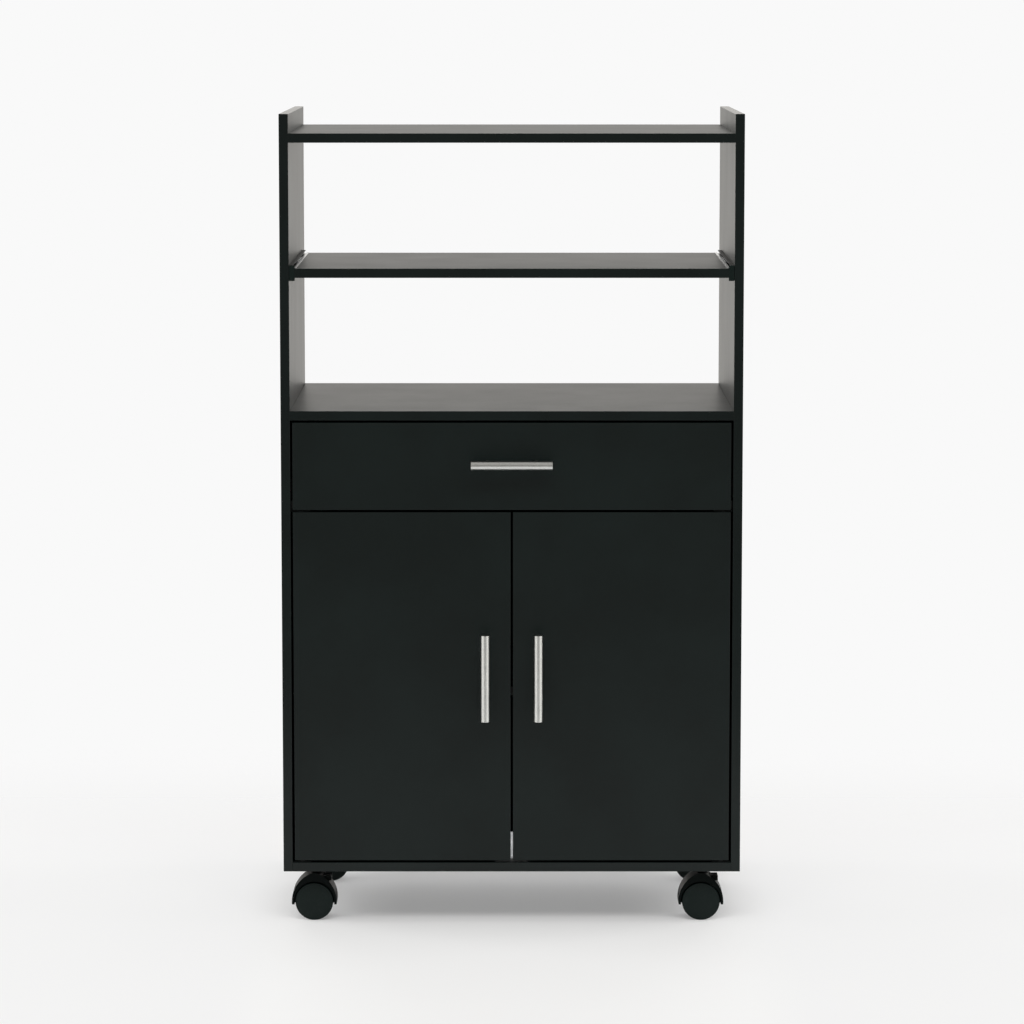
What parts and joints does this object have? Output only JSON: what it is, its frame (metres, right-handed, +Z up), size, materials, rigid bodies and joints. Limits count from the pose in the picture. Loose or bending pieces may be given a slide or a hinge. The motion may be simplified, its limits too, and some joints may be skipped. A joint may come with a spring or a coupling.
{
  "type": "microwave stand",
  "caption": "Wheeled kitchen stand in black laminate: open top bays, pull-out shelf, bar-handled drawer and double-door cupboard.",
  "frame": {"origin": "centre of the bounding box's foot, on the floor", "axes": "+Z up, front towards -Y, +X to the right of someone facing the front"},
  "size_m": [0.6, 0.4356, 1.062],
  "materials": {
    "black_laminate": "satin",
    "hardboard": "matte",
    "beech": "matte",
    "zinc_steel": "satin",
    "cast_zinc": "matte",
    "satin_nickel": "satin",
    "painted_steel": "satin",
    "black_plastic": "satin",
    "white_nylon": "matte"
  },
  "bodies": {
    "cabinet": {"side_panel_left": "black_laminate", "side_panel_right": "black_laminate", "top_shelf": "black_laminate", "worktop": "black_laminate", "divider_board": "black_laminate", "bottom_panel": "black_laminate", "back_panel": "hardboard", "back_nails": "zinc_steel", "loose_shelf": "black_laminate", "shelf_pins": "zinc_steel", "cam_bolts": "zinc_steel", "cam_locks": "cast_zinc", "shelf_rail_left": "painted_steel", "shelf_rail_right": "painted_steel", "drawer_rail_left": "painted_steel", "drawer_rail_right": "painted_steel", "fitting_screws": "zinc_steel", "pivot_brackets": "painted_steel", "magnetic_catch": "zinc_steel", "caster_plates": "painted_steel"},
    "pull_out_shelf": {"sliding_shelf": "black_laminate", "shelf_slide_left": "zinc_steel", "shelf_slide_right": "zinc_steel", "shelf_slide_screws": "zinc_steel", "slide_end_caps": "black_plastic"},
    "ball_cage": {"ball_cages": "zinc_steel"},
    "drawer": {"drawer_front": "black_laminate", "drawer_side_left": "black_laminate", "drawer_side_right": "black_laminate", "drawer_back": "black_laminate", "drawer_bottom": "hardboard", "drawer_dowels": "beech", "drawer_handle": "satin_nickel", "drawer_screws": "zinc_steel", "drawer_runner_left": "painted_steel", "drawer_runner_right": "painted_steel"},
    "rail_rollers": {"front_rollers": "white_nylon"},
    "drawer_rollers": {"rear_rollers": "white_nylon"},
    "left_door": {"door_left": "black_laminate", "door_handle_left": "satin_nickel", "strike_plate_left": "zinc_steel", "door_screws_left": "zinc_steel"},
    "right_door": {"door_right": "black_laminate", "door_handle_right": "satin_nickel", "strike_plate_right": "zinc_steel", "door_screws_right": "zinc_steel"},
    "caster_front_left": {"caster_housing_front_left": "black_plastic", "caster_axle_front_left": "zinc_steel"},
    "wheels_front_left": {"caster_wheels_front_left": "black_plastic"},
    "brake_front_left": {"brake_lever_front_left": "black_plastic"},
    "caster_front_right": {"caster_housing_front_right": "black_plastic", "caster_axle_front_right": "zinc_steel"},
    "wheels_front_right": {"caster_wheels_front_right": "black_plastic"},
    "brake_front_right": {"brake_lever_front_right": "black_plastic"},
    "caster_back_left": {"caster_housing_back_left": "black_plastic", "caster_axle_back_left": "zinc_steel"},
    "wheels_back_left": {"caster_wheels_back_left": "black_plastic"},
    "caster_back_right": {"caster_housing_back_right": "black_plastic", "caster_axle_back_right": "zinc_steel"},
    "wheels_back_right": {"caster_wheels_back_right": "black_plastic"}
  },
  "joints": [
    {"name": "shelf_slide", "type": "slide", "parent": "cabinet", "child": "pull_out_shelf", "axis": [0, -1, 0], "range_m": [0, 0.22]},
    {"name": "ball_cage_travel", "type": "slide", "parent": "cabinet", "child": "ball_cage", "axis": [0, -1, 0], "range_m": [0, 0.11]},
    {"name": "drawer_slide", "type": "slide", "parent": "cabinet", "child": "drawer", "axis": [0, -1, 0], "range_m": [0, 0.26]},
    {"name": "rail_roller_spin", "type": "hinge", "parent": "cabinet", "child": "rail_rollers", "pos_m": [0, -0.1578, 0.5748], "axis": [1, 0, 0], "range_deg": [0, 1490]},
    {"name": "drawer_roller_spin", "type": "hinge", "parent": "drawer", "child": "drawer_rollers", "pos_m": [0, 0.1622, 0.5743], "axis": [1, 0, 0], "range_deg": [0, 1490]},
    {"name": "left_door_hinge", "type": "hinge", "parent": "cabinet", "child": "left_door", "pos_m": [-0.275, -0.1798, 0.085], "axis": [0, 0, -1], "range_deg": [0, 110]},
    {"name": "right_door_hinge", "type": "hinge", "parent": "cabinet", "child": "right_door", "pos_m": [0.275, -0.1798, 0.085], "axis": [0, 0, 1], "range_deg": [0, 110]},
    {"name": "swivel_front_left", "type": "hinge", "parent": "cabinet", "child": "caster_front_left", "pos_m": [-0.2555, -0.1458, 0.06], "axis": [0, 0, 1], "continuous": true},
    {"name": "roll_front_left", "type": "hinge", "parent": "caster_front_left", "child": "wheels_front_left", "pos_m": [-0.261, -0.1458, 0.025], "axis": [0, 1, 0], "continuous": true},
    {"name": "brake_press_front_left", "type": "hinge", "parent": "caster_front_left", "child": "brake_front_left", "pos_m": [-0.2472, -0.1458, 0.0525], "axis": [0, 1, 0], "range_deg": [0, 6]},
    {"name": "swivel_front_right", "type": "hinge", "parent": "cabinet", "child": "caster_front_right", "pos_m": [0.2555, -0.1458, 0.06], "axis": [0, 0, 1], "continuous": true},
    {"name": "roll_front_right", "type": "hinge", "parent": "caster_front_right", "child": "wheels_front_right", "pos_m": [0.25, -0.1458, 0.025], "axis": [0, 1, 0], "continuous": true},
    {"name": "brake_press_front_right", "type": "hinge", "parent": "caster_front_right", "child": "brake_front_right", "pos_m": [0.2638, -0.1458, 0.0525], "axis": [0, 1, 0], "range_deg": [0, 6]},
    {"name": "swivel_back_left", "type": "hinge", "parent": "cabinet", "child": "caster_back_left", "pos_m": [-0.2555, 0.0982, 0.06], "axis": [0, 0, 1], "continuous": true},
    {"name": "roll_back_left", "type": "hinge", "parent": "caster_back_left", "child": "wheels_back_left", "pos_m": [-0.25, 0.0982, 0.025], "axis": [0, 1, 0], "continuous": true},
    {"name": "swivel_back_right", "type": "hinge", "parent": "cabinet", "child": "caster_back_right", "pos_m": [0.2555, 0.0982, 0.06], "axis": [0, 0, 1], "continuous": true},
    {"name": "roll_back_right", "type": "hinge", "parent": "caster_back_right", "child": "wheels_back_right", "pos_m": [0.25, 0.0982, 0.025], "axis": [0, 1, 0], "continuous": true}
  ],
  "couplings": [
    {"joint": "ball_cage_travel", "follows": "shelf_slide", "ratio": 0.5},
    {"joint": "rail_roller_spin", "follows": "drawer_slide", "rad_per_m": 100},
    {"joint": "drawer_roller_spin", "follows": "drawer_slide", "rad_per_m": 100}
  ]
}
